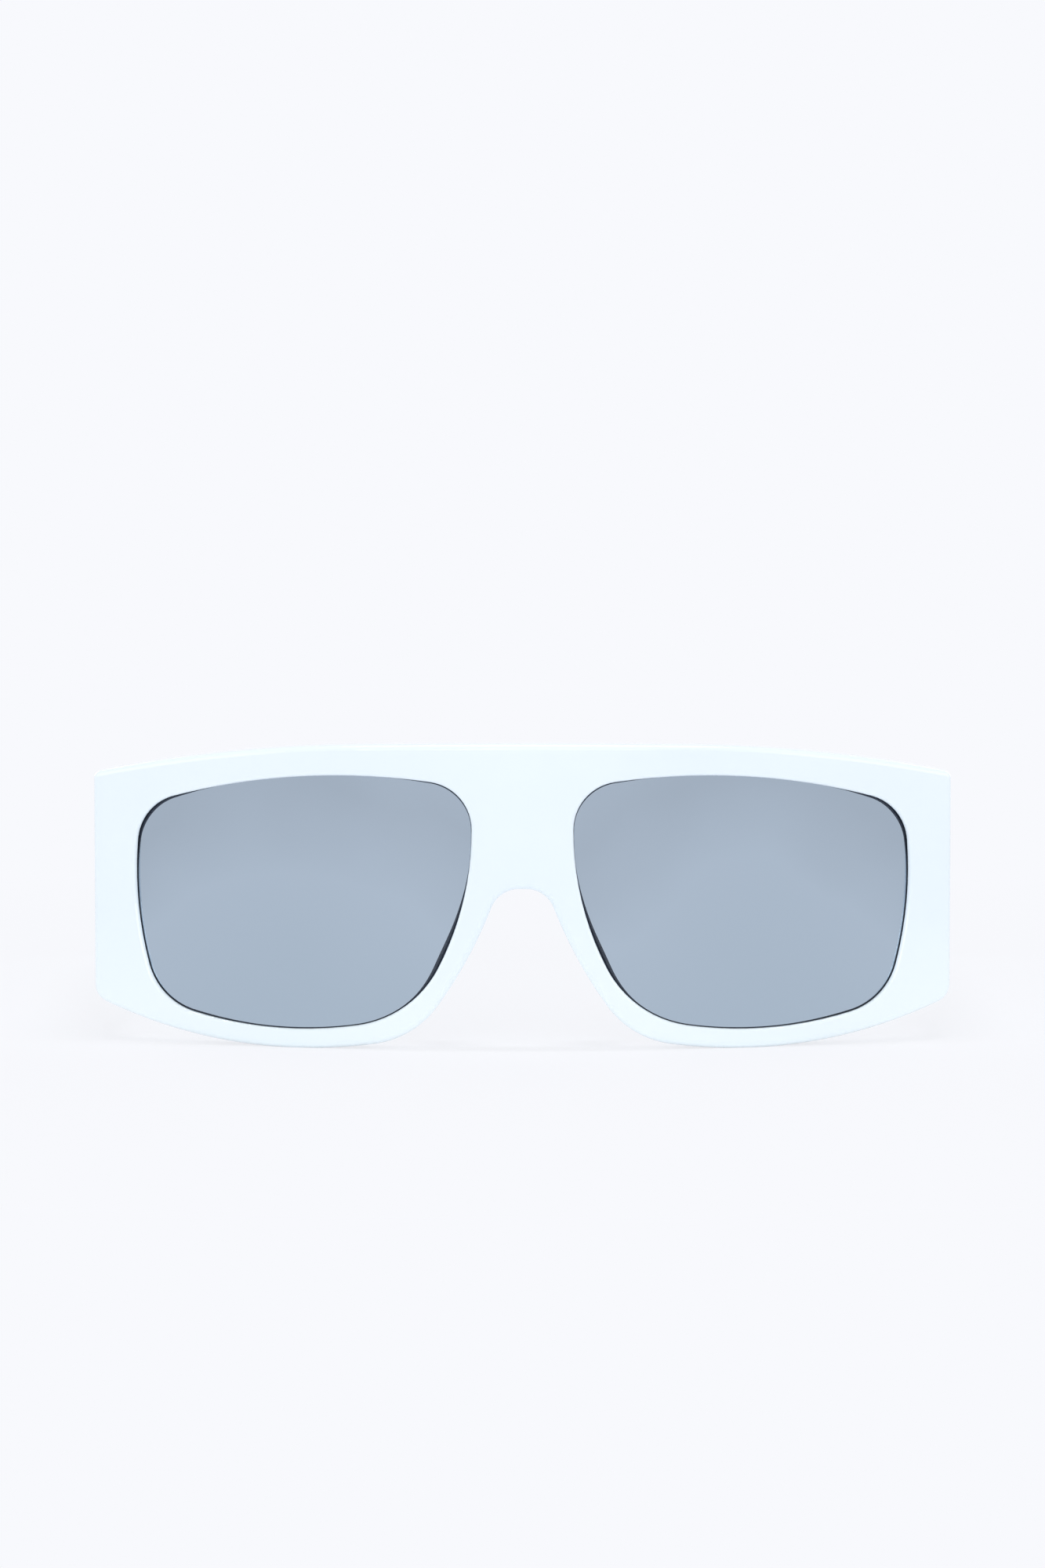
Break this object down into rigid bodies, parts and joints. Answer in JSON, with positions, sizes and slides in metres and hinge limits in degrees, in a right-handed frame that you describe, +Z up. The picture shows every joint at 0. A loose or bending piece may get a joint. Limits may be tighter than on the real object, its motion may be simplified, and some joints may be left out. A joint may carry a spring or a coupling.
{
  "type": "flat top sunglasses",
  "caption": "Sunglasses with a straight crowned brow, squared mirror lenses in a thick bowed front, and wide side arms that fold in on screw-pinned hinges.",
  "frame": {"origin": "on the table under the middle of the part, midway across the width and midway between the foremost line of the front and the temple tips", "axes": "+Z up from the table, front facing -Y, +X to the wearer's left, mirror plane at X = 0"},
  "size_m": [0.1462, 0.1554, 0.0517],
  "materials": {
    "frame_plastic": "polished opaque plastic, very pale icy blue-white",
    "mirror_lens": "silver-blue mirror coating on the front, dark uncoated bevel at the edge, dark grey tint seen from behind",
    "hinge_metal": "satin nickel silver",
    "screw_steel": "bright turned steel"
  },
  "bodies": {
    "front": {"front_frame": "frame_plastic", "lens_left": "mirror_lens", "lens_right": "mirror_lens", "nose_pad_left": "frame_plastic", "nose_pad_right": "frame_plastic", "front_hinge_left": "hinge_metal", "front_hinge_right": "hinge_metal", "hinge_screw_left": "screw_steel", "hinge_screw_right": "screw_steel"},
    "temple_arm_left": {"temple_left": "frame_plastic", "core_wire_left": "hinge_metal", "temple_hinge_left": "hinge_metal", "temple_leaf_screws_left": "screw_steel"},
    "temple_arm_right": {"temple_right": "frame_plastic", "core_wire_right": "hinge_metal", "temple_hinge_right": "hinge_metal", "temple_leaf_screws_right": "screw_steel"}
  },
  "joints": [
    {"name": "temple_left_fold", "type": "hinge", "parent": "front", "child": "temple_arm_left", "pos_m": [0.0668, -0.05271, 0.0386], "axis": [0, 0, 1], "range_deg": [0, 90]},
    {"name": "temple_right_fold", "type": "hinge", "parent": "front", "child": "temple_arm_right", "pos_m": [-0.0668, -0.05271, 0.0386], "axis": [0, 0, -1], "range_deg": [0, 84]}
  ]
}
